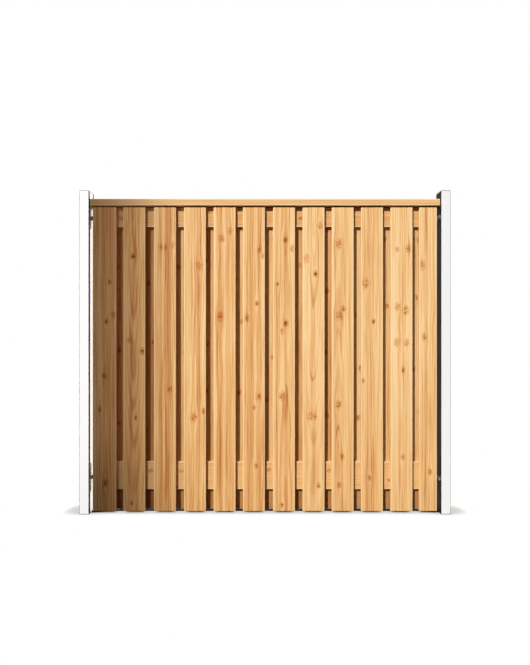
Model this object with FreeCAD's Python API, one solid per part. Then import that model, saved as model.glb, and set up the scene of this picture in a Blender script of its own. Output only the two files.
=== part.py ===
"""Garden screen panel between two posts: one bay of a double-sided, hit-and-miss board fence.

Twelve upright boards are nailed to the front of two rails and eleven to the back, each back board
closing one gap between two front boards. A grooved cap board sits over the top rail. The panel
hangs on four angle brackets between two posts of the same extruded profile, both set the same
way round, with cover strips in shallow recesses down their front, back and right-hand side.

Millimetres. +X runs along the screen from the left post to the right one, +Y from the front to
the back, +Z up. The origin is the middle of the left post's foot, at ground level.
"""

import FreeCAD, Part
import os
from FreeCAD import Vector

# Panel
panel_width = 1800.0
panel_height = 1630.0
ground_gap = 13.0

# Upright boards
front_board_count = 12
board_width = 115.0
first_board_width = 124.0
last_board_width = 93.0
board_thickness = 20.0
board_arris = 3.0

# How far each front board is nailed to the right of its place in an even spacing
front_board_shifts = [-1.5, -4.5, 1.5, 4.0, 5.0, 4.0, 7.0, 7.5, 5.5, 4.5, 4.5, 0.0]

# Rails
rail_thickness = 20.0
rail_arris = 2.5
bottom_rail_height = 147.0
bottom_rail_rise = 108.0
top_rail_drop = 107.0

# Cap board
cap_thickness = 35.0
cap_overhang = 12.0
cap_end_overhang = 12.5
cap_arris = 3.0
cap_groove_depth = 10.0
cap_groove_clearance = 0.5

# Posts
post_width = 50.0
post_depth = 100.0
post_rise = 43.0
post_wall = 2.5
post_corner_radius = 1.5
post_inner_radius = 1.5
end_gap = 16.0

# Cover strips in the front, the back and one side of each post
face_strip_width = 47.0
side_strip_width = 62.0
strip_thickness = 2.0
strip_clearance = 0.3
strip_corner_radius = 0.6
strip_foot_gap = 3.0

# Plug in the top of each post
plug_plate_thickness = 4.0
plug_edge_radius = 1.2
plug_skirt_depth = 15.0
plug_skirt_wall = 2.0
plug_clearance = 0.3

# Angle brackets that carry the panel
bracket_thickness = 2.5
bracket_height = 22.0
bracket_post_leg = 50.0
bracket_board_clearance = 15.0
bracket_bend_radius = 3.0
bracket_end_radius = 4.0
bracket_hole_diameter = 5.5
bracket_slot_length = 14.0
bracket_hole_spacing = 14.0
bracket_rise_share = 0.42

# Places worked out from the sizes above
panel_left = post_width / 2 + end_gap
right_post_x = post_width + 2 * end_gap + panel_width
rail_front = -rail_thickness / 2
rail_back = rail_thickness / 2
board_base = ground_gap
board_top = ground_gap + panel_height - cap_thickness
bottom_rail_base = board_base + bottom_rail_rise
top_rail_base = board_top - top_rail_drop
top_rail_height = top_rail_drop + cap_groove_depth
cavity_width = post_width - 2 * post_wall - strip_thickness
cavity_depth = post_depth - 2 * (post_wall + strip_thickness)
cavity_offset = -strip_thickness / 2
post_height = ground_gap + panel_height + post_rise
post_tube_height = post_height - plug_plate_thickness

# The front boards share out what is left of the panel's width as equal gaps
front_board_widths = [first_board_width]
front_board_widths += [board_width] * (front_board_count - 2)
front_board_widths += [last_board_width]
board_gap = (panel_width - sum(front_board_widths)) / (front_board_count - 1)


def corner_arc(centre, radius, start_degrees):
    """Edge of a quarter circle that runs anticlockwise from start_degrees."""
    return Part.makeCircle(radius, centre, Vector(0, 0, 1), start_degrees, start_degrees + 90)


def rounded_face(width, depth, radius):
    """Rectangle with round corners, centred on the origin in the XY plane."""
    reach_x = width / 2 - radius
    reach_y = depth / 2 - radius
    corners = [
        (reach_x, reach_y, 0),
        (-reach_x, reach_y, 90),
        (-reach_x, -reach_y, 180),
        (reach_x, -reach_y, 270),
    ]
    arcs = [corner_arc(Vector(x, y, 0), radius, start) for x, y, start in corners]
    edges = []
    for arc, following in zip(arcs, arcs[1:] + arcs[:1]):
        edges.append(arc)
        edges.append(Part.makeLine(arc.lastVertex().Point, following.firstVertex().Point))
    return Part.Face(Part.Wire(edges))


def upright(width, depth, radius, height):
    """Planed length of timber or strip that stands on z = 0, centred on the Z axis."""
    return rounded_face(width, depth, radius).extrude(Vector(0, 0, height))


def lengthwise(height, depth, radius, length):
    """Planed length of timber that lies along X from x = 0, its section centred on the X axis."""
    bar = upright(height, depth, radius, length)
    bar.rotate(Vector(0, 0, 0), Vector(0, 1, 0), 90)
    return bar


def placed(shape, x, y, z):
    """Copy of the shape, moved by x, y and z."""
    moved = shape.copy()
    moved.translate(Vector(x, y, z))
    return moved


def front_board_spans():
    """Left edge and width of each front board, from the left post to the right one.

    The first board is a little wider than the rest, and the last one is ripped narrower.
    """
    spans = []
    even_left = panel_left
    for width, shift in zip(front_board_widths, front_board_shifts):
        spans.append((even_left + shift, width))
        even_left += width + board_gap
    return spans


def back_board_spans():
    """Left edge and width of each back board, centred behind a gap in the front boards."""
    spans = []
    fronts = front_board_spans()
    for (left, width), (next_left, _) in zip(fronts, fronts[1:]):
        gap_middle = (left + width + next_left) / 2
        spans.append((gap_middle - board_width / 2, board_width))
    return spans


def bracket_grip():
    """Length of a bracket's leg behind the rail, which stops short of the nearest back board."""
    first_left = back_board_spans()[0][0]
    last_right = sum(back_board_spans()[-1])
    bare_rail_end = min(first_left - panel_left, panel_left + panel_width - last_right)
    return bare_rail_end - bracket_board_clearance


def board(span, y_middle):
    """Upright board over a span of X, with its long arrises eased."""
    left, width = span
    height = board_top - board_base
    timber = upright(width, board_thickness, board_arris, height)
    return placed(timber, left + width / 2, y_middle, board_base)


def rail(base, height):
    """Flat rail on edge between the two rows of boards."""
    timber = lengthwise(height, rail_thickness, rail_arris, panel_width)
    return placed(timber, panel_left, 0, base + height / 2)


def cap_board():
    """Cap board, ploughed underneath so that it sits over the top rail and on the boards."""
    depth = rail_thickness + 2 * board_thickness + 2 * cap_overhang
    length = panel_width + 2 * cap_end_overhang
    timber = lengthwise(cap_thickness, depth, cap_arris, length)
    timber = placed(timber, panel_left - cap_end_overhang, 0, board_top + cap_thickness / 2)
    groove_width = rail_thickness + 2 * cap_groove_clearance
    groove = Part.makeBox(
        length,
        groove_width,
        cap_groove_depth,
        Vector(panel_left - cap_end_overhang, -groove_width / 2, board_top),
    )
    return timber.cut(groove)


def strip_places():
    """Width along X, width along Y and middle of each cover strip of a post, by its face."""
    face_y = (post_depth - strip_thickness) / 2
    side_x = (post_width - strip_thickness) / 2
    return {
        "front": (face_strip_width, strip_thickness, 0, -face_y),
        "back": (face_strip_width, strip_thickness, 0, face_y),
        "side": (strip_thickness, side_strip_width, side_x, 0),
    }


def cover_strip(face):
    """Strip that fills a post's recess flush, from just above the ground to the plug."""
    width, depth, x, y = strip_places()[face]
    strip = upright(width, depth, strip_corner_radius, post_tube_height - strip_foot_gap)
    return placed(strip, x, y, strip_foot_gap)


def strip_recess(face):
    """Cutter for the recess that holds a cover strip, with clearance at its long edges."""
    width, depth, x, y = strip_places()[face]
    if width > depth:
        width += 2 * strip_clearance
    else:
        depth += 2 * strip_clearance
    return Part.makeBox(
        width, depth, post_tube_height, Vector(x - width / 2, y - depth / 2, 0)
    )


def post_tube():
    """Hollow extruded post with a recess for each cover strip."""
    profile = upright(post_width, post_depth, post_corner_radius, post_tube_height)
    cavity = upright(cavity_width, cavity_depth, post_inner_radius, post_tube_height)
    cutters = [strip_recess(face) for face in strip_places()]
    cutters.append(placed(cavity, cavity_offset, 0, 0))
    return profile.cut(cutters)


def post_plug():
    """Moulded plug that closes the top of a post: a flat head with a skirt inside the tube."""
    head = upright(post_width, post_depth, post_corner_radius, plug_plate_thickness)
    top_edges = [
        edge for edge in head.Edges if edge.BoundBox.ZMin > plug_plate_thickness / 2
    ]
    head = head.makeFillet(plug_edge_radius, top_edges)
    skirt_width = cavity_width - 2 * plug_clearance
    skirt_depth = cavity_depth - 2 * plug_clearance
    skirt = upright(skirt_width, skirt_depth, post_inner_radius, plug_skirt_depth)
    hollow = Part.makeBox(
        skirt_width - 2 * plug_skirt_wall,
        skirt_depth - 2 * plug_skirt_wall,
        plug_skirt_depth,
        Vector(plug_skirt_wall - skirt_width / 2, plug_skirt_wall - skirt_depth / 2, 0),
    )
    skirt = placed(skirt.cut(hollow), cavity_offset, 0, -plug_skirt_depth)
    return placed(head.fuse(skirt).removeSplitter(), 0, 0, post_tube_height)


def nearest_edge(shape, x, y, z):
    """Edge of the shape whose middle lies nearest to a point."""
    point = Vector(x, y, z)
    return min(shape.Edges, key=lambda edge: edge.CenterOfMass.distanceToPoint(point))


def bent_angle(post_leg, rail_leg):
    """Sheet metal angle that stands on z = 0 with its outer corner on the Z axis.

    One leg runs along -Y against the post and the other along +X behind the rail.
    """
    sheet = bracket_thickness
    height = bracket_height
    outline = Part.makePolygon([
        Vector(0, 0, 0),
        Vector(0, -post_leg, 0),
        Vector(sheet, -post_leg, 0),
        Vector(sheet, -sheet, 0),
        Vector(rail_leg, -sheet, 0),
        Vector(rail_leg, 0, 0),
        Vector(0, 0, 0),
    ])
    angle = Part.Face(outline).extrude(Vector(0, 0, height))
    heel = nearest_edge(angle, 0, 0, height / 2)
    angle = angle.makeFillet(bracket_bend_radius + sheet, [heel])
    throat = nearest_edge(angle, sheet, -sheet, height / 2)
    angle = angle.makeFillet(bracket_bend_radius, [throat])
    end_corners = []
    for z in (0, height):
        end_corners.append(nearest_edge(angle, sheet / 2, -post_leg, z))
        end_corners.append(nearest_edge(angle, rail_leg, -sheet / 2, z))
    return angle.makeFillet(bracket_end_radius, end_corners)


def slot_cutter(y, z, depth):
    """Cutter along X for a round-ended slot that runs along Y, its middle at y and z."""
    radius = bracket_hole_diameter / 2
    reach = bracket_slot_length / 2 - radius
    middle = Part.makeBox(
        depth, 2 * reach, bracket_hole_diameter, Vector(-depth / 2, y - reach, z - radius)
    )
    ends = [
        Part.makeCylinder(radius, depth, Vector(-depth / 2, y + side * reach, z), Vector(1, 0, 0))
        for side in (-1, 1)
    ]
    return middle.fuse(ends)


def bracket(z_middle):
    """Left-hand angle bracket: its slotted leg on the post, its drilled leg behind the rail."""
    grip = bracket_grip()
    grip_middle = end_gap + grip / 2
    drill_depth = 4 * bracket_thickness
    hole_height = bracket_height / 2
    holes = [
        Part.makeCylinder(
            bracket_hole_diameter / 2,
            drill_depth,
            Vector(x, -drill_depth / 2, hole_height),
            Vector(0, 1, 0),
        )
        for x in (grip_middle - bracket_hole_spacing / 2, grip_middle + bracket_hole_spacing / 2)
    ]
    slot = slot_cutter(-bracket_post_leg / 2, hole_height, drill_depth)
    angle = bent_angle(bracket_post_leg, end_gap + grip).cut(holes + [slot])
    heel_y = rail_back + bracket_thickness
    return placed(angle, post_width / 2, heel_y, z_middle - hole_height)


def mirrored(shape):
    """The same piece at the other end of the bay."""
    return shape.mirror(Vector(right_post_x / 2, 0, 0), Vector(1, 0, 0))


def build():
    """Every piece of the bay, by the name of its node."""
    front_y = rail_front - board_thickness / 2
    back_y = rail_back + board_thickness / 2
    pieces = {
        "bottom_rail": rail(bottom_rail_base, bottom_rail_height),
        "top_rail": rail(top_rail_base, top_rail_height),
        "top_cap": cap_board(),
    }
    for number, span in enumerate(front_board_spans(), start=1):
        pieces[f"front_board_{number:02d}"] = board(span, front_y)
    for number, span in enumerate(back_board_spans(), start=1):
        pieces[f"back_board_{number:02d}"] = board(span, back_y)
    for side, x in (("left", 0.0), ("right", right_post_x)):
        pieces[f"{side}_post"] = placed(post_tube(), x, 0, 0)
        pieces[f"{side}_post_plug"] = placed(post_plug(), x, 0, 0)
        for face in strip_places():
            pieces[f"{side}_post_{face}_strip"] = placed(cover_strip(face), x, 0, 0)
    bracket_middles = {
        "lower": bottom_rail_base + bracket_rise_share * bottom_rail_height,
        "upper": top_rail_base + bracket_rise_share * top_rail_height,
    }
    for level, z_middle in bracket_middles.items():
        left_bracket = bracket(z_middle)
        pieces[f"left_{level}_bracket"] = left_bracket
        pieces[f"right_{level}_bracket"] = mirrored(left_bracket)
    return pieces


os.makedirs("parts", exist_ok=True)
for name, piece in build().items():
    piece.exportStep(f"parts/{name}.step")
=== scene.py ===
"""Garden screen bay: the looks of its posts, timber and fixings, in metres in the part's own frame.

+X runs along the screen from the left post to the right one, +Y from its front to its back, +Z up.
"""

import math
import random

import bpy
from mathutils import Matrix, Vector


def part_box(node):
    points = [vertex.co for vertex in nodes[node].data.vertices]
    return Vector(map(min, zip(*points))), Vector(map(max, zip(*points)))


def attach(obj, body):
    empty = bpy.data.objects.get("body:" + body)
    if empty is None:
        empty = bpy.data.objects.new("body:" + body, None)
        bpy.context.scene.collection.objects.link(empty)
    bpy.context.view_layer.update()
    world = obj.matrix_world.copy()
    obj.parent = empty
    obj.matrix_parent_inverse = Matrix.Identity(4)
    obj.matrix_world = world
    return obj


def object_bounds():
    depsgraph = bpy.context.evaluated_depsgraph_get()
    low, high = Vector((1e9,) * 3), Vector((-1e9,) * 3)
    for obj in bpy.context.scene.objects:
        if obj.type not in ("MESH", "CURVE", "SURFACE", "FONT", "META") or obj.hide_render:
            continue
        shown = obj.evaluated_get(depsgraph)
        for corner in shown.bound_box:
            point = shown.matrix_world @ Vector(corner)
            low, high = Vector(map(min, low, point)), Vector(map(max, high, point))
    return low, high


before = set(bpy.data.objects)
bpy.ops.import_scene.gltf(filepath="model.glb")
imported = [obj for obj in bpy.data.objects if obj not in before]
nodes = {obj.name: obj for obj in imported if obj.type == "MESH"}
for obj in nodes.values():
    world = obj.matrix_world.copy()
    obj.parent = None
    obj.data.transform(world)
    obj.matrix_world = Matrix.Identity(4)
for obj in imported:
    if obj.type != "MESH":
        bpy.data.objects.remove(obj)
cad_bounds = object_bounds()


# Posts. Extruded aluminium box section, 50 by 100 mm, with a dark grey powder coat that is sprayed
# on dry and baked. It is fine matt: the light breaks up on a pebbled skin half a millimetre across,
# which is too fine to make out from the camera.

sides = ("left", "right")
clouds_per_metre = 9.0
pebble_strength = 0.35
pebble_height = 0.0002
coat_gloss_spread = 0.05


def linear(hex_colour):
    """Linear RGBA of an sRGB hex colour."""
    channels = [int(hex_colour[place:place + 2], 16) / 255 for place in (1, 3, 5)]
    bent = [c / 12.92 if c <= 0.04045 else ((c + 0.055) / 1.055) ** 2.4 for c in channels]
    return (*bent, 1.0)


def add(tree, kind, inputs=None, **settings):
    """Adds a node to a tree. Each input is a socket to link, or the socket's own value."""
    node = tree.nodes.new(kind)
    for setting, value in settings.items():
        setattr(node, setting, value)
    for socket, value in (inputs or {}).items():
        if isinstance(value, bpy.types.NodeSocket):
            tree.links.new(value, node.inputs[socket])
        else:
            node.inputs[socket].default_value = value
    return node


def blank_material(name):
    """Material with an empty tree."""
    material = bpy.data.materials.new(name)
    material.use_nodes = True
    material.node_tree.nodes.clear()
    return material, material.node_tree


def dress(names, material):
    """Puts one material in the slots of CAD nodes."""
    for name in names:
        slots = nodes[name].data.materials
        slots.clear()
        slots.append(material)


def coating(name, colour, thin_colour, roughness, pebble_mm, specular):
    """Even coat or moulded skin: faint clouds of thickness over a pebbled surface."""
    material, tree = blank_material(name)
    place = add(tree, "ShaderNodeTexCoord").outputs["Object"]
    clouds = add(tree, "ShaderNodeTexNoise", {
        "Vector": place, "Scale": clouds_per_metre, "Detail": 3.0,
    })
    tint = add(tree, "ShaderNodeMix", {
        "Factor": clouds.outputs["Fac"], "A": linear(colour), "B": linear(thin_colour),
    }, data_type="RGBA")
    wave_mm = 2 * pebble_mm  # a pebble and the dip beside it
    pebbles = add(tree, "ShaderNodeTexNoise", {
        "Vector": place, "Scale": 1000 / wave_mm, "Detail": 1.0,
    })
    skin = add(tree, "ShaderNodeBump", {
        "Height": pebbles.outputs["Fac"], "Strength": pebble_strength, "Distance": pebble_height,
    })
    gloss = add(tree, "ShaderNodeMapRange", {
        "Value": clouds.outputs["Fac"],
        "To Min": roughness - coat_gloss_spread, "To Max": roughness + coat_gloss_spread,
    })
    shader = add(tree, "ShaderNodeBsdfPrincipled", {
        "Base Color": tint.outputs["Result"], "Roughness": gloss.outputs["Result"],
        "Normal": skin.outputs["Normal"], "Specular IOR Level": specular,
    })
    add(tree, "ShaderNodeOutputMaterial", {"Surface": shader.outputs[0]})
    return material


dark_coat = coating("dark_powder_coat", "#241F1B", "#1C1815", roughness=0.7, pebble_mm=0.5,
                    specular=0.12)
dress([f"{side}_post" for side in sides], dark_coat)


# Cover strips. Flat aluminium strips that press into the posts' recesses. Their white powder coat
# is smoother than the dark one, so it has a satin sheen with a faint orange peel.

white_coat = coating("white_powder_coat", "#F8F7F6", "#F4F3F1", roughness=0.4, pebble_mm=1.2,
                     specular=0.3)
strip_faces = ("front", "back", "side")
dress([f"{side}_post_{face}_strip" for side in sides for face in strip_faces], white_coat)


# Plugs in the tops of the posts. Injection-moulded grey polypropylene: slightly greasy in its
# sheen, over the fine spark-eroded grain of the mould.

plug_plastic = coating("grey_polypropylene", "#A5A29D", "#9B9893", roughness=0.45, pebble_mm=0.3,
                       specular=0.5)
dress([f"{side}_post_plug" for side in sides], plug_plastic)


# Angle brackets. Pressed from hot-dip galvanised sheet. The zinc freezes in flat crystals a few
# millimetres across, each with a grey and a gloss of its own.

levels = ("lower", "upper")
spangle_mm = 5.0
zinc_smooth = 0.32
zinc_rough = 0.52
zinc, tree = blank_material("hot_dip_galvanised_steel")
place = add(tree, "ShaderNodeTexCoord").outputs["Object"]
crystals = add(tree, "ShaderNodeTexVoronoi", {"Vector": place, "Scale": 1000 / spangle_mm})
lot = add(tree, "ShaderNodeSeparateColor", {"Color": crystals.outputs["Color"]})
zinc_tint = add(tree, "ShaderNodeMix", {
    "Factor": lot.outputs["Red"], "A": linear("#A2A4A5"), "B": linear("#BDBEBD"),
}, data_type="RGBA")
zinc_gloss = add(tree, "ShaderNodeMapRange", {
    "Value": lot.outputs["Green"], "To Min": zinc_smooth, "To Max": zinc_rough,
})
shader = add(tree, "ShaderNodeBsdfPrincipled", {
    "Base Color": zinc_tint.outputs["Result"], "Roughness": zinc_gloss.outputs["Result"],
    "Metallic": 1.0,
})
add(tree, "ShaderNodeOutputMaterial", {"Surface": shader.outputs[0]})
brackets = [f"{side}_{level}_bracket" for side in sides for level in levels]
dress(brackets, zinc)


# Rails. Two lengths of planed fir on edge between the rows of boards, with the grain along them.
# Planed fir is straw-coloured, with a red-brown line of late wood in each year's ring and small
# knots that the grain flows round. The rings, 3 mm in the tree, are drawn coarser so as to show.

ring_mm = 9.5
ring_ripple_mm = 4.5
heart_sway_mm = 26.0
spells_per_year = 0.31
spell_shift_years = 3.0
streak_mm = 4.5
streak_length_mm = 150.0
band_drift_mm = 16.0
band_drift_length_mm = 300.0
knot_fray = 0.8
knot_frays_per_mm = 0.13
knot_patches_per_mm = 0.09
knot_shape = (1.1, 0.0, 0.75)
squeeze_shape = (0.40, 0.0, 0.13)
arris_mm = 2.5
arris_highlight_reach_mm = 8.0
arris_highlight_strength = 0.85
end_strength = 0.5
cap_shade_full_drop = 0.004
cap_shade_reach = 0.009
cap_shade_strength = 0.8
early_roughness = 0.68
late_roughness = 0.52
planing_strength = 0.5
planing_height = 0.0003
fir_specular = 0.15
arris_highlight_colour = "#FFE3AC"
end_grain_colour = "#A06A3A"
cap_shade_colour = "#3A281B"
foot_shade_colour = "#D9C8B8"


def shape_ramp(node, stops):
    """Sets a colour ramp's stops, each a place with a grey level or a hex colour."""
    ramp = node.color_ramp
    while len(ramp.elements) < len(stops):
        ramp.elements.new(0.5)
    for element, (place, level) in zip(ramp.elements, stops):
        element.position = place
        element.color = linear(level) if isinstance(level, str) else (level, level, level, 1.0)


def knot_group():
    """Shader group of one knot, which bends the grain round itself and gives its darkness.

    A tight knot, 1, is a dark rim round a lighter heart. A spray, 0, is a burst of fine strokes.
    """
    group = bpy.data.node_groups.new("fir_knot", "ShaderNodeTree")
    for name, kind in (
        ("Place", "NodeSocketVector"), ("Centre", "NodeSocketVector"),
        ("Radius", "NodeSocketFloat"), ("Tight", "NodeSocketFloat"),
        ("Grain", "NodeSocketVector"), ("Dark", "NodeSocketFloat"),
    ):
        group.interface.new_socket(name, in_out="INPUT", socket_type=kind)
    for name, kind in (("Grain", "NodeSocketVector"), ("Dark", "NodeSocketFloat")):
        group.interface.new_socket(name, in_out="OUTPUT", socket_type=kind)
    given = add(group, "NodeGroupInput").outputs
    away = add(group, "ShaderNodeVectorMath", {0: given["Place"], 1: given["Centre"]},
               operation="SUBTRACT")
    per_mm = add(group, "ShaderNodeMath", {0: 1.0, 1: given["Radius"]}, operation="DIVIDE")
    reach = add(group, "ShaderNodeVectorMath", {0: away.outputs[0], "Scale": per_mm.outputs[0]},
                operation="SCALE")

    # Ragged distance from the middle
    ragged = add(group, "ShaderNodeTexNoise", {
        "Vector": given["Place"], "Scale": knot_frays_per_mm, "Detail": 2.0, "Roughness": 0.6,
    })
    frayed = add(group, "ShaderNodeVectorMath", {
        0: ragged.outputs["Color"], 1: (knot_fray, 0.0, knot_fray),
        2: (-knot_fray / 2, 0.0, -knot_fray / 2),
    }, operation="MULTIPLY_ADD")
    uneven = add(group, "ShaderNodeVectorMath", {0: reach.outputs[0], 1: frayed.outputs[0]})
    flat = add(group, "ShaderNodeVectorMath", {0: uneven.outputs[0], 1: knot_shape},
               operation="MULTIPLY")
    distance = add(group, "ShaderNodeVectorMath", {0: flat.outputs[0]}, operation="LENGTH")

    # Strokes of a spray, which run out from the middle at uneven bearings, some of them faded
    bearing = add(group, "ShaderNodeVectorMath", {0: flat.outputs[0]}, operation="NORMALIZE")
    own_bearing = add(group, "ShaderNodeVectorMath", {
        0: given["Centre"], 1: (0.37, 0.37, 0.37), 2: bearing.outputs[0],
    }, operation="MULTIPLY_ADD")
    sectors = add(group, "ShaderNodeTexVoronoi", {
        "Vector": own_bearing.outputs[0], "Scale": 1.25, "Randomness": 1.0,
    }, feature="DISTANCE_TO_EDGE")
    stroke = add(group, "ShaderNodeMapRange", {
        "Value": sectors.outputs["Distance"], "From Min": 0.0, "From Max": 0.3,
        "To Min": 0.72, "To Max": 0.0,
    }, interpolation_type="SMOOTHSTEP")
    patchy = add(group, "ShaderNodeTexNoise", {
        "Vector": given["Place"], "Scale": knot_patches_per_mm, "Detail": 1.0,
    })
    kept = add(group, "ShaderNodeMapRange", {
        "Value": patchy.outputs["Fac"], "From Min": 0.4, "From Max": 0.62,
        "To Min": 0.15, "To Max": 1.0,
    })
    length = add(group, "ShaderNodeMapRange", {
        "Value": distance.outputs["Value"], "From Min": 0.6, "From Max": 2.0,
        "To Min": 1.0, "To Max": 0.0,
    }, interpolation_type="SMOOTHSTEP")
    inked = add(group, "ShaderNodeMath", {0: stroke.outputs["Result"], 1: kept.outputs["Result"]},
                operation="MULTIPLY")
    spray = add(group, "ShaderNodeMath", {0: inked.outputs[0], 1: length.outputs["Result"]},
                operation="MULTIPLY")

    # Rim and heart of a tight knot, darker on one side than on the other
    outward = add(group, "ShaderNodeMapRange", {
        "Value": distance.outputs["Value"], "From Max": 1.5,
    })
    ring = add(group, "ShaderNodeValToRGB", {"Fac": outward.outputs["Result"]})
    shape_ramp(ring, ((0.0, 1.0), (0.4, 0.95), (0.52, 0.3), (0.62, 0.25), (0.74, 0.5), (0.9, 0.0)))
    lopsided = add(group, "ShaderNodeMath", {0: kept.outputs["Result"], 1: 0.45, 2: 0.6},
                   operation="MULTIPLY_ADD")
    tight = add(group, "ShaderNodeMath", {0: ring.outputs["Color"], 1: lopsided.outputs[0]},
                operation="MULTIPLY")
    own = add(group, "ShaderNodeMix", {
        "Factor": given["Tight"], "A": spray.outputs[0], "B": tight.outputs[0],
    })
    halo = add(group, "ShaderNodeMapRange", {
        "Value": distance.outputs["Value"], "From Min": 0.3, "From Max": 2.0,
        "To Min": 0.24, "To Max": 0.0,
    }, interpolation_type="SMOOTHSTEP")
    darker = add(group, "ShaderNodeMath", {0: own.outputs["Result"], 1: halo.outputs["Result"]},
                 operation="MAXIMUM")
    dark = add(group, "ShaderNodeMath", {0: given["Dark"], 1: darker.outputs[0]},
               operation="MAXIMUM")

    # Grain squeezed together on both sides of the knot
    stretched = add(group, "ShaderNodeVectorMath", {0: reach.outputs[0], 1: squeeze_shape},
                    operation="MULTIPLY")
    span = add(group, "ShaderNodeVectorMath", {0: stretched.outputs[0]}, operation="LENGTH")
    pinch = add(group, "ShaderNodeMapRange", {
        "Value": span.outputs["Value"], "To Min": -0.8, "To Max": 0.0,
    }, interpolation_type="SMOOTHSTEP")
    across = add(group, "ShaderNodeVectorMath", {0: away.outputs[0], 1: (1.0, 0.0, 0.0)},
                 operation="MULTIPLY")
    shift = add(group, "ShaderNodeVectorMath", {
        0: across.outputs[0], "Scale": pinch.outputs["Result"],
    }, operation="SCALE")
    grain = add(group, "ShaderNodeVectorMath", {0: given["Grain"], 1: shift.outputs[0]})
    add(group, "NodeGroupOutput", {"Grain": grain.outputs[0], "Dark": dark.outputs[0]})
    return group


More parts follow.
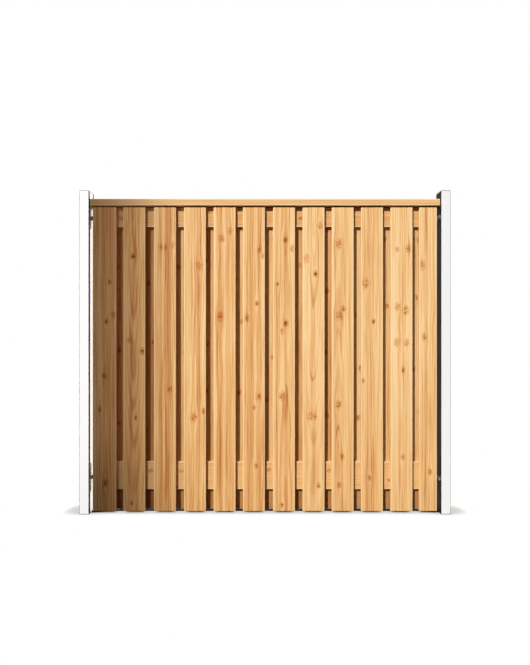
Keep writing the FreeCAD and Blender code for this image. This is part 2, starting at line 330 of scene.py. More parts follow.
def grain_group():
    """Shader group of fir's figure: rings round a heart that leans and wanders along the piece."""
    group = bpy.data.node_groups.new("fir_grain", "ShaderNodeTree")
    for name, kind in (
        ("Grain", "NodeSocketVector"), ("Heart", "NodeSocketVector"), ("Lean", "NodeSocketFloat"),
        ("Seed", "NodeSocketFloat"), ("Tone", "NodeSocketFloat"), ("Figure", "NodeSocketFloat"),
    ):
        group.interface.new_socket(name, in_out="INPUT", socket_type=kind)
    for name, kind in (("Color", "NodeSocketColor"), ("Late", "NodeSocketFloat"),
                       ("Relief", "NodeSocketFloat")):
        group.interface.new_socket(name, in_out="OUTPUT", socket_type=kind)
    given = add(group, "NodeGroupInput").outputs

    def noise(across_mm, along_mm, seed_step, detail, roughness=0.5):
        """Noise whose specks have one size across the grain and one along it, with its own seed."""
        scaled = add(group, "ShaderNodeVectorMath", {
            0: given["Grain"], 1: (1 / across_mm, 1 / across_mm, 1 / along_mm),
        }, operation="MULTIPLY")
        seed = add(group, "ShaderNodeMath", {0: given["Seed"], 1: seed_step})
        return add(group, "ShaderNodeTexNoise", {
            "Vector": scaled.outputs[0], "W": seed.outputs[0], "Scale": 1.0, "Detail": detail,
            "Roughness": roughness,
        }, noise_dimensions="4D").outputs

    # Distance from the heart, in years
    leaning = add(group, "ShaderNodeVectorRotate", {
        "Vector": given["Grain"], "Angle": given["Lean"],
    }, rotation_type="X_AXIS")
    section = add(group, "ShaderNodeVectorMath", {0: leaning.outputs[0], 1: (1.0, 1.0, 0.0)},
                  operation="MULTIPLY")
    from_heart = add(group, "ShaderNodeVectorMath", {0: section.outputs[0], 1: given["Heart"]},
                     operation="SUBTRACT")
    wander = noise(math.inf, 420, seed_step=0.0, detail=2.0)
    sway = add(group, "ShaderNodeVectorMath", {
        0: wander["Color"], 1: (heart_sway_mm, heart_sway_mm, 0.0),
        2: (-heart_sway_mm / 2, -heart_sway_mm / 2, 0.0),
    }, operation="MULTIPLY_ADD")
    radial = add(group, "ShaderNodeVectorMath", {0: from_heart.outputs[0], 1: sway.outputs[0]})
    radius = add(group, "ShaderNodeVectorMath", {0: radial.outputs[0]}, operation="LENGTH")
    ripple = noise(24, 190, seed_step=7.0, detail=2.0)
    rippled = add(group, "ShaderNodeMath", {
        0: ripple["Fac"], 1: ring_ripple_mm, 2: radius.outputs["Value"],
    }, operation="MULTIPLY_ADD")
    even_years = add(group, "ShaderNodeMath", {0: rippled.outputs[0], 1: 1 / ring_mm},
                     operation="MULTIPLY")
    dated = add(group, "ShaderNodeMath", {0: even_years.outputs[0], 1: given["Seed"]})

    # Good and lean spells of years, which spread the rings or crowd them
    spell = add(group, "ShaderNodeTexNoise", {
        "W": dated.outputs[0], "Scale": spells_per_year, "Detail": 1.0,
    }, noise_dimensions="1D")
    years = add(group, "ShaderNodeMath", {
        0: spell.outputs["Fac"], 1: spell_shift_years, 2: dated.outputs[0],
    }, operation="MULTIPLY_ADD")

    # Late wood: it deepens through the year and stops short, harder in some years than in others
    season = add(group, "ShaderNodeMath", {0: years.outputs[0]}, operation="FRACT")
    year = add(group, "ShaderNodeMath", {0: years.outputs[0]}, operation="FLOOR")
    luck = add(group, "ShaderNodeTexWhiteNoise", {"W": year.outputs[0]}, noise_dimensions="1D")
    profile = add(group, "ShaderNodeValToRGB", {"Fac": season.outputs[0]})
    shape_ramp(profile, ((0.0, 0.6), (0.12, 0.0), (0.5, 0.0), (0.84, 1.0), (1.0, 0.6)))
    strength = add(group, "ShaderNodeMapRange", {
        "Value": luck.outputs["Value"], "To Min": 0.1, "To Max": 1.0,
    })
    late = add(group, "ShaderNodeMath", {
        0: profile.outputs["Color"], 1: strength.outputs["Result"],
    }, operation="MULTIPLY")

    # Broad bands of warm and pale wood, narrower ones, and streaks of fibre
    broad = noise(30, 900, seed_step=3.0, detail=1.0)
    band = add(group, "ShaderNodeMapRange", {
        "Value": broad["Fac"], "From Min": 0.38, "From Max": 0.64,
    }, interpolation_type="SMOOTHSTEP")
    coarse = noise(11, 420, seed_step=11.0, detail=2.0)
    streak = add(group, "ShaderNodeMapRange", {
        "Value": coarse["Fac"], "From Min": 0.42, "From Max": 0.68,
    }, interpolation_type="SMOOTHSTEP")
    fibres = noise(streak_mm, streak_length_mm, seed_step=5.0, detail=3.0, roughness=0.6)
    fibre = add(group, "ShaderNodeMapRange", {
        "Value": fibres["Fac"], "From Min": 0.35, "From Max": 0.7,
    })
    marks = 0.0
    for share, amount in (
        (late.outputs[0], 0.55), (band.outputs["Result"], 0.16),
        (streak.outputs["Result"], 0.30), (fibre.outputs["Result"], 0.28),
    ):
        marks = add(group, "ShaderNodeMath", {0: share, 1: amount, 2: marks},
                    operation="MULTIPLY_ADD").outputs[0]
    depth = add(group, "ShaderNodeMath", {0: marks, 1: given["Figure"], 2: given["Tone"]},
                operation="MULTIPLY_ADD").outputs[0]
    colour = add(group, "ShaderNodeValToRGB", {"Fac": depth})
    shape_ramp(colour, ((0.0, "#FED8A0"), (0.25, "#F7C88A"), (0.5, "#ECB576"), (0.75, "#DC9D5F"),
                        (1.0, "#C3834A")))
    relief = add(group, "ShaderNodeMath", {
        0: fibre.outputs["Result"], 1: -0.6, 2: late.outputs[0],
    }, operation="MULTIPLY_ADD")
    add(group, "NodeGroupOutput", {
        "Color": colour.outputs["Color"], "Late": late.outputs[0], "Relief": relief.outputs[0],
    })
    return group


def band_group():
    """Shader group that adds a band of warmer wood along the grain to a piece's tone."""
    group = bpy.data.node_groups.new("fir_band", "ShaderNodeTree")
    for name, kind in (
        ("Grain", "NodeSocketVector"), ("Middle", "NodeSocketFloat"),
        ("Half width", "NodeSocketFloat"), ("Strength", "NodeSocketFloat"),
        ("Tone", "NodeSocketFloat"),
    ):
        group.interface.new_socket(name, in_out="INPUT", socket_type=kind)
    group.interface.new_socket("Tone", in_out="OUTPUT", socket_type="NodeSocketFloat")
    given = add(group, "NodeGroupInput").outputs
    axes = add(group, "ShaderNodeSeparateXYZ", {0: given["Grain"]}).outputs
    drift = add(group, "ShaderNodeTexNoise", {
        "W": axes["Z"], "Scale": 1 / band_drift_length_mm, "Detail": 3.0,
    }, noise_dimensions="1D")
    drifted = add(group, "ShaderNodeMath", {
        0: drift.outputs["Fac"], 1: band_drift_mm, 2: axes["X"],
    }, operation="MULTIPLY_ADD")
    off = add(group, "ShaderNodeMath", {0: drifted.outputs[0], 1: band_drift_mm / 2},
              operation="SUBTRACT")
    from_middle = add(group, "ShaderNodeMath", {0: off.outputs[0], 1: given["Middle"]},
                      operation="SUBTRACT")
    away = add(group, "ShaderNodeMath", {0: from_middle.outputs[0]}, operation="ABSOLUTE")
    beyond = add(group, "ShaderNodeMath", {0: away.outputs[0], 1: given["Half width"]},
                 operation="SUBTRACT")

    # The band fades out over 6 mm at its edge
    share = add(group, "ShaderNodeMapRange", {
        "Value": beyond.outputs[0], "From Min": -2.5, "From Max": 3.5,
        "To Min": 1.0, "To Max": 0.0,
    }, interpolation_type="SMOOTHSTEP")
    toned = add(group, "ShaderNodeMath", {
        0: share.outputs["Result"], 1: given["Strength"], 2: given["Tone"],
    }, operation="MULTIPLY_ADD")
    add(group, "NodeGroupOutput", {"Tone": toned.outputs[0]})
    return group


fir_knot = knot_group()
fir_grain = grain_group()
fir_band = band_group()


def fir(node, along, heart, lean, seed, knots, bands, tone, figure=1.0, recess_shade="#FFFFFF",
        foot_shade_mm=0.0):
    """Planed fir for one piece, cut from its own place in the tree.

    heart is where the tree's heart lies, in mm across and behind the middle of the piece, and lean
    its tilt in radians. Each knot is (across, along, radius, tight) and each warm band (across,
    half width, strength), in mm off the middle. tone is 0 for pale sapwood and 0.5 for warm wood,
    figure scales the grain's contrast, weather is a painted shade that darkens a piece which sits
    back in the gaps, and below foot_shade_mm from its lower end the wood is painted darker as
    shade.
    """
    low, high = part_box(node)
    half_mm = (high - low) * 500
    if along == "X":
        turn = (0.0, -math.pi / 2, 0.0)
        half_mm = Vector((half_mm.z, half_mm.y, half_mm.x))
    else:
        turn = (0.0, 0.0, 0.0)
    material, tree = blank_material(f"planed_fir_{node}")
    coordinates = add(tree, "ShaderNodeTexCoord").outputs
    centred = add(tree, "ShaderNodeVectorMath", {
        0: coordinates["Object"], 1: (low + high) / 2,
    }, operation="SUBTRACT")
    place = add(tree, "ShaderNodeMapping", {
        "Vector": centred.outputs[0], "Rotation": turn, "Scale": (1000.0, 1000.0, 1000.0),
    }).outputs[0]

    # Knots, each bending the grain a little more, then the warm bands
    grain, dark = place, 0.0
    for across, lengthways, radius, tight in knots:
        knot = add(tree, "ShaderNodeGroup", {
            "Place": place, "Centre": (across, 0.0, lengthways), "Radius": radius, "Tight": tight,
            "Grain": grain, "Dark": dark,
        }, node_tree=fir_knot)
        grain, dark = knot.outputs["Grain"], knot.outputs["Dark"]
    for middle, half_width, strength in bands:
        tone = add(tree, "ShaderNodeGroup", {
            "Grain": grain, "Middle": middle, "Half width": half_width, "Strength": strength,
            "Tone": tone,
        }, node_tree=fir_band).outputs["Tone"]
    figured = add(tree, "ShaderNodeGroup", {
        "Grain": grain, "Heart": (*heart, 0.0), "Lean": lean, "Seed": seed,
        "Tone": tone, "Figure": figure,
    }, node_tree=fir_grain)
    stain = add(tree, "ShaderNodeValToRGB", {"Fac": dark})
    shape_ramp(stain, ((0.0, "#FFFFFF"), (0.25, "#F0DAC8"), (0.5, "#D8B093"), (0.75, "#B3866A"),
                       (1.0, "#6E4632")))
    knotted = add(tree, "ShaderNodeMix", {
        "Factor": 1.0, "A": figured.outputs["Color"], "B": stain.outputs["Color"],
    }, data_type="RGBA", blend_type="MULTIPLY")

    # The eased arrises are sanded, and the broad faces beside them are painted paler as a
    # highlight.
    # The sawn ends drink in more light
    off_middle = add(tree, "ShaderNodeVectorMath", {0: place}, operation="ABSOLUTE")
    inward = add(tree, "ShaderNodeVectorMath", {0: half_mm, 1: off_middle.outputs[0]},
                 operation="SUBTRACT")
    depth = add(tree, "ShaderNodeSeparateXYZ", {0: inward.outputs[0]}).outputs
    to_arris = add(tree, "ShaderNodeMath", {0: depth["X"], 1: depth["Y"]}, operation="MAXIMUM")
    arris_highlight = add(tree, "ShaderNodeMapRange", {
        "Value": to_arris.outputs[0], "From Min": arris_mm, "From Max": arris_highlight_reach_mm,
        "To Min": arris_highlight_strength, "To Max": 0.0,
    }, interpolation_type="SMOOTHSTEP")
    broadside = add(tree, "ShaderNodeVectorMath", {0: coordinates["Normal"], 1: (0.0, 1.0, 0.0)},
                    operation="DOT_PRODUCT")
    on_face = add(tree, "ShaderNodeMath", {0: broadside.outputs["Value"]}, operation="ABSOLUTE")
    face_highlight = add(tree, "ShaderNodeMath", {0: arris_highlight.outputs["Result"], 1: on_face.outputs[0]},
                 operation="MULTIPLY")
    highlighted = add(tree, "ShaderNodeMix", {
        "Factor": face_highlight.outputs[0], "A": knotted.outputs["Result"], "B": linear(arris_highlight_colour),
    }, data_type="RGBA")
    to_end = add(tree, "ShaderNodeVectorMath", {
        0: coordinates["Normal"], 1: (1.0, 0.0, 0.0) if along == "X" else (0.0, 0.0, 1.0),
    }, operation="DOT_PRODUCT")
    end_face = add(tree, "ShaderNodeMath", {0: to_end.outputs["Value"]}, operation="ABSOLUTE")
    end_share = add(tree, "ShaderNodeMapRange", {
        "Value": end_face.outputs[0], "From Min": 0.8, "From Max": 0.95,
        "To Min": 0.0, "To Max": end_strength,
    })
    sawn = add(tree, "ShaderNodeMix", {
        "Factor": end_share.outputs["Result"], "A": highlighted.outputs["Result"],
        "B": linear(end_grain_colour),
    }, data_type="RGBA")

    # Painted shade: a piece that sits back in the gaps is darkened all over, the wood just under
    # the cap is painted dark brown, and a back board is painted darker towards its foot
    recess_shaded = add(tree, "ShaderNodeMix", {
        "Factor": 1.0, "A": sawn.outputs["Result"], "B": linear(recess_shade),
    }, data_type="RGBA", blend_type="MULTIPLY")
    world_height = add(tree, "ShaderNodeSeparateXYZ", {0: coordinates["Object"]}).outputs["Z"]
    # Painted shade: the wood is darkened over the last few millimetres below the cap
    cap_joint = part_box("top_cap")[0].z
    under_cap_shading = add(tree, "ShaderNodeMapRange", {
        "Value": world_height,
        "From Min": cap_joint - cap_shade_reach, "From Max": cap_joint - cap_shade_full_drop,
        "To Min": 0.0, "To Max": 0.0 if node == "top_cap" else cap_shade_strength,
    }, interpolation_type="SMOOTHSTEP")
    finish = add(tree, "ShaderNodeMix", {
        "Factor": under_cap_shading.outputs["Result"], "A": recess_shaded.outputs["Result"], "B": linear(cap_shade_colour),
    }, data_type="RGBA").outputs["Result"]
    # Painted shade: the lower end of a back board is painted darker
    if foot_shade_mm:
        height = add(tree, "ShaderNodeSeparateXYZ", {0: place}).outputs["Z"]
        foot_shading = add(tree, "ShaderNodeMapRange", {
            "Value": height, "From Min": foot_shade_mm - half_mm.z, "From Max": 2 * foot_shade_mm - half_mm.z,
            "To Min": 1.0, "To Max": 0.0,
        }, interpolation_type="SMOOTHSTEP")
        finish = add(tree, "ShaderNodeMix", {
            "Factor": foot_shading.outputs["Result"], "A": finish, "B": linear(foot_shade_colour),
        }, data_type="RGBA", blend_type="MULTIPLY").outputs["Result"]

    # Late wood is denser, so it stands a hair proud after planing and shines a little more
    gloss = add(tree, "ShaderNodeMapRange", {
        "Value": figured.outputs["Late"], "To Min": early_roughness, "To Max": late_roughness,
    })
    planed = add(tree, "ShaderNodeBump", {
        "Height": figured.outputs["Relief"], "Strength": planing_strength,
        "Distance": planing_height,
    })
    shader = add(tree, "ShaderNodeBsdfPrincipled", {
        "Base Color": finish, "Roughness": gloss.outputs["Result"],
        "Normal": planed.outputs["Normal"], "Specular IOR Level": fir_specular,
    })
    add(tree, "ShaderNodeOutputMaterial", {"Surface": shader.outputs[0]})
    return material


rails = ("bottom_rail", "top_rail")
rail_tones = (0.13, 0.38)

# Per rail: each knot's place across and along it from its middle, radius and how tight it is.
rail_knots = (
    ((-24, -602, 9, 0.1), (18, -480, 8, 0.3), (-22, -438, 9, 0.1), (-30, 20, 9, 0.4),
     (-24, 340, 9, 0.1), (25, 655, 8, 0.2)),
    ((12, -760, 8, 0.3), (-20, -300, 9, 0.2), (14, 190, 8, 0.3), (-8, 700, 9, 0.2)),
)
# The rails are painted a little darker and greyer as shade, since they sit back between the boards
for number, (name, tone, knots) in enumerate(zip(rails, rail_tones, rail_knots)):
    timber = fir(name, "X", heart=(60.0, 50.0), lean=0.01, seed=21.0 + number, knots=knots,
                 bands=(), tone=tone, figure=0.45, recess_shade="#EAF0F2")
    dress([name], timber)


# Front boards. Twelve planed boards nailed upright to the rails. Each was sawn from its own place
# in the tree: near the heart the rings show as pointed arches, and to one side they run straight.

# Per board: heart across and behind, lean, tone, warm bands, then each knot's place across the
# board, height above ground, radius and how tight it is.
front_boards = (
    ((-75, 30), 0.0, 0.06, ((18, 30, 0.2),),
     ((26, 1210, 9, 0.7), (49, 1036, 11, 0.1), (9, 1004, 10, 0.8), (1, 718, 11, 0.5),
      (-26, 543, 10, 0.3), (5, 159, 13, 0.9))),
    ((-3, 28), -0.045, 0.08, ((-1, 25, 0.2),),
     ((-7, 1346, 12, 0.9), (-25, 906, 11, 0.3), (42, 848, 13, 0.7), (7, 502, 10, 0.5),
      (-13, 54, 10, 0.6))),
    ((95, 40), 0.0, 0.06, ((-24, 9, 0.28), (18, 13, 0.34)),
     ((42, 1404, 12, 0.0), (-21, 1393, 8, 0.1), (5, 1390, 7, 0.0), (25, 648, 10, 0.4))),
    ((70, 35), 0.01, -0.06, ((-15, 2, 0.3), (15, 12, 0.3)),
     ((22, 1294, 14, 0.1), (46, 533, 11, 0.5), (-7, 503, 15, 0.3))),
    ((-85, 45), 0.0, -0.04, ((-22, 8, 0.45), (17, 12, 0.2)),
     ((26, 1477, 11, 0.0), (-16, 1438, 12, 0.1), (-23, 1031, 15, 0.4))),
    ((70, 50), 0.01, 0.02, ((-20, 17, 0.26), (29, 10, 0.24)),
     ((31, 1375, 10, 0.1), (44, 1346, 9, 0.0), (16, 1098, 10, 0.8), (-37, 1023, 12, 0.5),
      (26, 610, 12, 0.4), (1, 553, 8, 0.7), (12, 248, 10, 0.5))),
    ((8, 34), 0.02, -0.04, ((-37, 4, 0.3), (10, 9, 0.28)),
     ((8, 1430, 11, 1.0), (45, 1385, 12, 0.1), (-34, 1200, 7, 1.0), (9, 993, 12, 0.9),
      (-9, 953, 10, 0.1), (-9, 613, 15, 0.4), (-11, 44, 9, 0.8))),
    ((-2, 31), -0.06, -0.2, ((-4, 14, 0.16),),
     ((34, 1506, 11, 0.0), (-39, 1333, 14, 0.1), (10, 1252, 11, 0.95), (-18, 508, 14, 0.1),
      (7, 505, 10, 0.3), (26, 145, 10, 0.5))),
    ((-25, 32), 0.03, -0.14, ((-20, 22, 0.22), (-38, 2, 0.2)),
     ((-21, 1409, 15, 0.05), (3, 1070, 11, 0.7), (-19, 1033, 15, 0.0), (-22, 569, 14, 0.3),
      (-3, 297, 10, 0.5), (-19, 148, 10, 0.5))),
    ((85, 60), 0.0, -0.03, ((-12, 22, 0.12),),
     ((-34, 1205, 16, 0.0), (7, 1003, 9, 0.8), (-50, 694, 10, 0.2), (-13, 185, 10, 0.5))),
    ((-60, 44), 0.01, -0.2, ((-10, 4, 0.2), (16, 13, 0.16)),
     ((36, 1385, 13, 0.05), (-24, 1380, 9, 0.1), (-22, 1080, 12, 0.0), (23, 1061, 14, 0.0),
      (-24, 894, 13, 0.1), (26, 894, 12, 0.1), (9, 750, 9, 0.6), (7, 295, 10, 0.5))),
    ((64, 52), 0.0, -0.12, ((-12, 8, 0.18), (32, 6, 0.12)),
     ((-29, 1299, 14, 0.05), (-19, 922, 12, 0.3), (9, 216, 10, 0.4))),
)
for number, (heart, lean, tone, bands, knots) in enumerate(front_boards, start=1):
    name = f"front_board_{number:02d}"
    low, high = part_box(name)
    mid_height = (low.z + high.z) * 500
    placed = [(across, height - mid_height, *rest) for across, height, *rest in knots]
    timber = fir(name, "Z", heart, lean, seed=number * 1.7, knots=placed, bands=bands, tone=tone)
    dress([name], timber)


# Back boards. Eleven more, one behind each gap, nailed to the back of the rails. They are painted
# a little darker all over as shade, since they sit back in the gaps, and darker still at their
# feet.

back_tones = (0.55, 0.45, -0.05, 0.1, -0.15, -0.15, -0.05, 0.2, -0.6, -0.35, -0.35)
back_knot_places = (-560, -280, 20, 300, 590)
for number, tone in enumerate(back_tones, start=1):
    name = f"back_board_{number:02d}"
    draw = random.Random(number)
    heart = (draw.choice((-1, 1)) * draw.uniform(5, 90), -draw.uniform(28, 60))
    knots = [
        (draw.uniform(-48, 48), middle + draw.uniform(-110, 110), draw.uniform(8, 11),
         draw.uniform(0.0, 0.6))
        for middle in back_knot_places
    ]
    bands = [(draw.uniform(-45, 45), draw.uniform(4, 18), draw.uniform(0.1, 0.3)) for _ in range(2)]
    timber = fir(name, "Z", heart, lean=draw.uniform(-0.04, 0.04), seed=31.0 + number * 1.3,
                 knots=knots, bands=bands, tone=tone, recess_shade="#DADBDA", foot_shade_mm=120.0)
    dress([name], timber)


# Cap board. One planed length of fir with a groove ploughed in its underside. It sits over the top
# rail, on the upper ends of both rows of boards, and keeps the rain out of their end grain.

timber = fir("top_cap", "X", heart=(90.0, 40.0), lean=0.0, seed=71.0, knots=(), bands=(),
             tone=0.3, figure=0.4)
dress(["top_cap"], timber)


# Nails. Stainless brads with small flat heads, punched flush, two wherever a board crosses a rail
# and one above each front board through the cap.

scratches_per_metre = 900.0
steel_gloss_spread = 0.06


def heads(name, points, facing, tree, sizes):
    """Heads of one kind at points, all facing one way, as a plain mesh that rides with the part."""
    mesh = bpy.data.meshes.new(name)
    mesh.from_pydata([tuple(point) for point in points], [], [])
    piece = bpy.data.objects.new(name, mesh)
    bpy.context.scene.collection.objects.link(piece)
    modifier = piece.modifiers.new(name, "NODES")
    modifier.node_group = tree
    for item in tree.interface.items_tree:
        if item.in_out == "INPUT" and item.name == "Facing":
            modifier[item.identifier] = facing
        elif item.in_out == "INPUT" and item.name in sizes:
            modifier[item.identifier] = sizes[item.name]
    evaluated = piece.evaluated_get(bpy.context.evaluated_depsgraph_get())
    plain = bpy.data.meshes.new_from_object(evaluated)
    piece.modifiers.remove(modifier)
    piece.data = plain
    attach(piece, "root")


def heads_tree(name, sizes, make_head, material):
    """Geometry Nodes tree that sets one head on every point, with an input for each named size."""
    tree = bpy.data.node_groups.new(name, "GeometryNodeTree")
    tree.interface.new_socket("Geometry", in_out="INPUT", socket_type="NodeSocketGeometry")
    tree.interface.new_socket("Facing", in_out="INPUT", socket_type="NodeSocketVector")
    for size_name in sizes:
        tree.interface.new_socket(size_name, in_out="INPUT", socket_type="NodeSocketFloat")
    tree.interface.new_socket("Geometry", in_out="OUTPUT", socket_type="NodeSocketGeometry")
    given = add(tree, "NodeGroupInput").outputs
    turned = add(tree, "FunctionNodeAlignRotationToVector", {"Vector": given["Facing"]}, axis="Z")
    set_out = add(tree, "GeometryNodeInstanceOnPoints", {
        "Points": given["Geometry"], "Instance": make_head(tree, given),
        "Rotation": turned.outputs["Rotation"],
    })
    real = add(tree, "GeometryNodeRealizeInstances", {"Geometry": set_out.outputs["Instances"]})
    painted = add(tree, "GeometryNodeSetMaterial", {
        "Geometry": real.outputs["Geometry"], "Material": material,
    })
    add(tree, "NodeGroupOutput", {"Geometry": painted.outputs["Geometry"]})
    return tree


def steel(name, colour, bright_colour, roughness):
    """Drawn and pressed steel: a faint grain of fine scratches in its gloss."""
    material, tree = blank_material(name)
    place = add(tree, "ShaderNodeTexCoord").outputs["Object"]
    scratches = add(tree, "ShaderNodeTexNoise", {
        "Vector": place, "Scale": scratches_per_metre, "Detail": 2.0,
    })
    tint = add(tree, "ShaderNodeMix", {
        "Factor": scratches.outputs["Fac"], "A": linear(colour), "B": linear(bright_colour),
    }, data_type="RGBA")
    gloss = add(tree, "ShaderNodeMapRange", {
        "Value": scratches.outputs["Fac"],
        "To Min": roughness - steel_gloss_spread, "To Max": roughness + steel_gloss_spread,
    })
    shader = add(tree, "ShaderNodeBsdfPrincipled", {
        "Base Color": tint.outputs["Result"], "Roughness": gloss.outputs["Result"],
        "Metallic": 1.0,
    })
    add(tree, "ShaderNodeOutputMaterial", {"Surface": shader.outputs[0]})
    return material


def brad_head(tree, given):
    """Low cone of ten sides."""
    cone = add(tree, "GeometryNodeMeshCone", {
        "Vertices": 10, "Radius Top": given["Top radius"], "Radius Bottom": given["Radius"],
        "Depth": given["Height"],
    })
    return cone.outputs["Mesh"]


brad_sizes = {"Radius": 0.0013, "Top radius": 0.0010, "Height": 0.0003}
brad_spread = 0.032
stainless = steel("stainless_steel_brads", "#A19A90", "#B4ADA2", roughness=0.42)
brads = heads_tree("brads", brad_sizes, brad_head, stainless)
cap_low, cap_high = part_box("top_cap")
for row, face, facing in (("front", 0, (0.0, -1.0, 0.0)), ("back", 1, (0.0, 1.0, 0.0))):
    points = []
    for name in sorted(node for node in nodes if node.startswith(f"{row}_board")):
        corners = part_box(name)
        middle = (corners[0].x + corners[1].x) / 2
        for rail in rails:
            rail_low, rail_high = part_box(rail)
            level = (rail_low.z + min(rail_high.z, cap_low.z)) / 2
            for offset in (-brad_spread, brad_spread):
                points.append((middle + offset, corners[face].y, level))
    heads(f"{row}_brads", points, facing, brads, brad_sizes)
cap_points = []
for number in range(1, len(front_boards) + 1):
    low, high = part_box(f"front_board_{number:02d}")
    cap_points.append(((low.x + high.x) / 2, 0.0, cap_high.z))
heads("cap_brads", cap_points, (0.0, 0.0, 1.0), brads, brad_sizes)


# Screws in the brackets. Galvanised hex heads on pressed washers: two in each rail leg from behind,
# and one in the slot of each post leg.

def screw_head(tree, given):
    """Six-sided head on a round washer."""
    washer = add(tree, "GeometryNodeMeshCone", {
        "Vertices": 18, "Radius Top": given["Washer top radius"],
        "Radius Bottom": given["Washer radius"], "Depth": given["Washer height"],
    })
    head = add(tree, "GeometryNodeMeshCylinder", {
        "Vertices": 6, "Radius": given["Head radius"], "Depth": given["Head height"],
    })
    lift = add(tree, "ShaderNodeMath", {0: given["Head height"], 1: 0.5, 2: given["Washer height"]},
               operation="MULTIPLY_ADD")
    above = add(tree, "ShaderNodeCombineXYZ", {"Z": lift.outputs[0]})
    seated = add(tree, "GeometryNodeTransform", {
        "Geometry": head.outputs["Mesh"], "Translation": above.outputs[0],
    })
    both = add(tree, "GeometryNodeJoinGeometry")
    for part in (washer.outputs["Mesh"], seated.outputs["Geometry"]):
        tree.links.new(part, both.inputs["Geometry"])
    return both.outputs["Geometry"]


screw_sizes = {
    "Washer radius": 0.0052, "Washer top radius": 0.0044, "Washer height": 0.0009,
    "Head radius": 0.0040, "Head height": 0.0022,
}
galvanised = steel("galvanised_screws", "#8F9192", "#A9ABAC", roughness=0.4)
screws = heads_tree("hex_screws", screw_sizes, screw_head, galvanised)
hole_offset = 0.007
rail_points = []
post_points = {side: [] for side in sides}
for side in sides:
    for level, rail in zip(levels, rails):
        low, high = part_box(f"{side}_{level}_bracket")
        rail_low, rail_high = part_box(rail)
        height = (low.z + high.z) / 2
        sheet = high.y - rail_high.y
        if side == "left":
            grip_middle = (rail_low.x + high.x) / 2
            leg_face = low.x + sheet
        else:
            grip_middle = (rail_high.x + low.x) / 2
            leg_face = high.x - sheet
        for offset in (-hole_offset, hole_offset):
            rail_points.append((grip_middle + offset, high.y, height))
        post_points[side].append((leg_face, (low.y + high.y) / 2, height))
heads("rail_screws", rail_points, (0.0, 1.0, 0.0), screws, screw_sizes)
for side, inward in zip(sides, (1.0, -1.0)):
    heads(f"{side}_post_screws", post_points[side], (inward, 0.0, 0.0), screws, screw_sizes)


# Floor. A plain pale sheet, white to the camera, with a soft shadow where the posts and boards come
# near it. Lighting rays meet a darker one, so that it throws little light up behind the boards.

floor_reach = 12.0
contact_reach = 0.1
floor_mesh = bpy.data.meshes.new("floor")
floor_mesh.from_pydata([
    (-floor_reach, -floor_reach, 0.0), (floor_reach, -floor_reach, 0.0),
    (floor_reach, floor_reach, 0.0), (-floor_reach, floor_reach, 0.0),
], [], [(0, 1, 2, 3)])
floor = bpy.data.objects.new("floor", floor_mesh)
bpy.context.scene.collection.objects.link(floor)


def seen_directly(tree):
    """1 for rays from the camera, straight or through gloss or glass, and 0 for lighting rays."""
    path = add(tree, "ShaderNodeLightPath").outputs
    clear = add(tree, "ShaderNodeMath", {0: path["Is Camera Ray"], 1: path["Is Glossy Ray"]},
                operation="MAXIMUM")
    return add(tree, "ShaderNodeMath", {0: clear.outputs[0], 1: path["Is Transmission Ray"]},
               operation="MAXIMUM").outputs[0]


# How open a place on the floor is towards the front and the sky, from which the light comes
floor_paint, tree = blank_material("pale_floor")
light_side = add(tree, "ShaderNodeCombineXYZ", {"X": 0.0, "Y": -0.9, "Z": 0.44}).outputs[0]
near = add(tree, "ShaderNodeAmbientOcclusion", {"Distance": contact_reach, "Normal": light_side},
           samples=64)
contact = add(tree, "ShaderNodeValToRGB", {"Fac": near.outputs["AO"]})
shape_ramp(contact, ((0.553, "#14110F"), (0.583, "#A39B94"), (0.65, "#D3CDC7"), (0.84, "#D8D4D0"),
                     (0.93, "#E2DFDB"), (0.98, "#EFECE9"), (1.0, "#FFFFFF")))
white = add(tree, "ShaderNodeEmission", {"Color": contact.outputs["Color"]})
lit = add(tree, "ShaderNodeBsdfDiffuse", {"Color": linear("#35322F")})
mixed = add(tree, "ShaderNodeMixShader", {0: seen_directly(tree), 1: lit.outputs[0],
                                         2: white.outputs[0]})
add(tree, "ShaderNodeOutputMaterial", {"Surface": mixed.outputs[0]})
floor_mesh.materials.append(floor_paint)


# Light. A low sky all round, a key light from the upper left in front, a light from the back right
# for the other side, and a graded scrim in front of the left boards, which lie in soft shade.

sky_strength = 0.065
world = bpy.data.worlds.new("studio")
world.use_nodes = True
tree = world.node_tree
tree.nodes.clear()
sky_level = add(tree, "ShaderNodeMapRange", {
    "Value": seen_directly(tree), "To Min": sky_strength,
})
sky_tint = add(tree, "ShaderNodeMix", {
    "Factor": seen_directly(tree), "A": linear("#E6EEFF"), "B": linear("#FFFFFF"),
}, data_type="RGBA")
sky = add(tree, "ShaderNodeBackground", {
    "Color": sky_tint.outputs["Result"], "Strength": sky_level.outputs["Result"],
})
add(tree, "ShaderNodeOutputWorld", {"Surface": sky.outputs[0]})
bpy.context.scene.world = world


def sun(name, travel, strength, soft_degrees):
    """Parallel light that travels along a direction."""
    lamp = bpy.data.lights.new(name, "SUN")
    lamp.energy = strength
    lamp.angle = math.radians(soft_degrees)
    holder = bpy.data.objects.new(name, lamp)
    holder.rotation_euler = Vector(travel).to_track_quat("-Z", "Y").to_euler()
    bpy.context.scene.collection.objects.link(holder)


key_travel = Vector((0.56, 1.0, -0.8))
sun("key_light", key_travel, strength=4.08, soft_degrees=0.5)
sun("back_light", (-1.0, -0.65, -0.35), strength=3.4, soft_degrees=6.0)

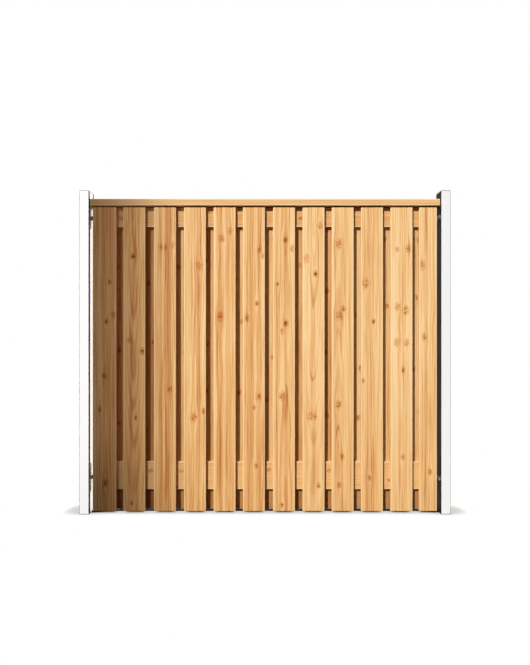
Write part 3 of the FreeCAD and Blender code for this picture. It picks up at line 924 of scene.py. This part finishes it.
# The scrim hangs in front of the boards, and covers their outline as the key light sees it
scrim_y = -0.30
scrim_margin = 0.05
board_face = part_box("front_board_01")[0].y
path_share = (scrim_y - board_face) / key_travel.y
cap_share = (scrim_y - cap_low.y) / key_travel.y
scrim_left = cap_low.x + cap_share * key_travel.x
scrim_right = cap_high.x + path_share * key_travel.x
scrim_low = path_share * key_travel.z
scrim_high = cap_high.z + scrim_margin + path_share * key_travel.z
scrim_mesh = bpy.data.meshes.new("scrim")
scrim_mesh.from_pydata([
    (scrim_left, scrim_y, scrim_low), (scrim_right, scrim_y, scrim_low),
    (scrim_right, scrim_y, scrim_high), (scrim_left, scrim_y, scrim_high),
], [], [(0, 1, 2, 3)])
scrim = bpy.data.objects.new("scrim", scrim_mesh)
bpy.context.scene.collection.objects.link(scrim)
scrim.visible_camera = False
scrim.visible_glossy = False
scrim.visible_transmission = False

# Its gauze is thick at the left, thins out to nothing and reaches a little further at its foot. It
# scatters some of the light that it stops.
shade_lean = 0.03
gauze, tree = blank_material("graded_gauze")
place = add(tree, "ShaderNodeTexCoord").outputs["Object"]
axes = add(tree, "ShaderNodeSeparateXYZ", {0: place}).outputs
rise = add(tree, "ShaderNodeMapRange", {
    "Value": axes["Z"], "From Min": scrim_low, "From Max": scrim_high,
}).outputs["Result"]
leaning = add(tree, "ShaderNodeMath", {0: rise, 1: shade_lean, 2: axes["X"]},
              operation="MULTIPLY_ADD").outputs[0]
run = add(tree, "ShaderNodeMapRange", {
    "Value": leaning, "From Min": scrim_left + shade_lean, "From Max": scrim_right + shade_lean,
}).outputs["Result"]
let_through = add(tree, "ShaderNodeValToRGB", {"Fac": run})
shape_ramp(let_through, ((0.0, 0.07), (0.055, 0.15), (0.11, 0.29), (0.154, 0.47), (0.188, 0.65),
                         (0.231, 0.8), (0.275, 0.93), (0.4, 1.0)))
warmer = add(tree, "ShaderNodeValToRGB", {"Fac": rise})
shape_ramp(warmer, ((0.0, "#F4ECE2"), (0.166, "#F8F1E9"), (0.414, "#FDFBF8"), (0.53, "#FFFFFF")))
tinted = add(tree, "ShaderNodeMix", {
    "Factor": 1.0, "A": let_through.outputs["Color"], "B": warmer.outputs["Color"],
}, data_type="RGBA", blend_type="MULTIPLY")
clear = add(tree, "ShaderNodeBsdfTransparent", {"Color": tinted.outputs["Result"]})
spread = add(tree, "ShaderNodeValToRGB", {"Fac": run})
shape_ramp(spread, ((0.06, "#000000"), (0.075, "#ABA09F"), (0.19, "#938A89"), (0.27, "#6F6865"),
                    (0.36, "#000000")))
glow = add(tree, "ShaderNodeEmission", {"Color": spread.outputs["Color"]})
gauze_shader = add(tree, "ShaderNodeAddShader", {0: clear.outputs[0], 1: glow.outputs[0]})
add(tree, "ShaderNodeOutputMaterial", {"Surface": gauze_shader.outputs[0]})
scrim_mesh.materials.append(gauze)


# Camera. Level, in front of the middle of the bay and a little above the middle of its height, with
# the field of view that the photograph's perspective gives.

camera_distance = 3.430
camera_height = 0.946
bay_middle = (cad_bounds[0][0] + cad_bounds[1][0]) / 2
scene = bpy.context.scene
camera_data = bpy.data.cameras.new("camera")
camera_data.lens = 35.19
camera_data.sensor_width = 36.0
camera = bpy.data.objects.new("camera", camera_data)
camera.location = (bay_middle, -camera_distance, camera_height)
camera.rotation_euler = (math.pi / 2, 0.0, 0.0)
scene.collection.objects.link(camera)
scene.camera = camera
scene.view_settings.view_transform = "Standard"
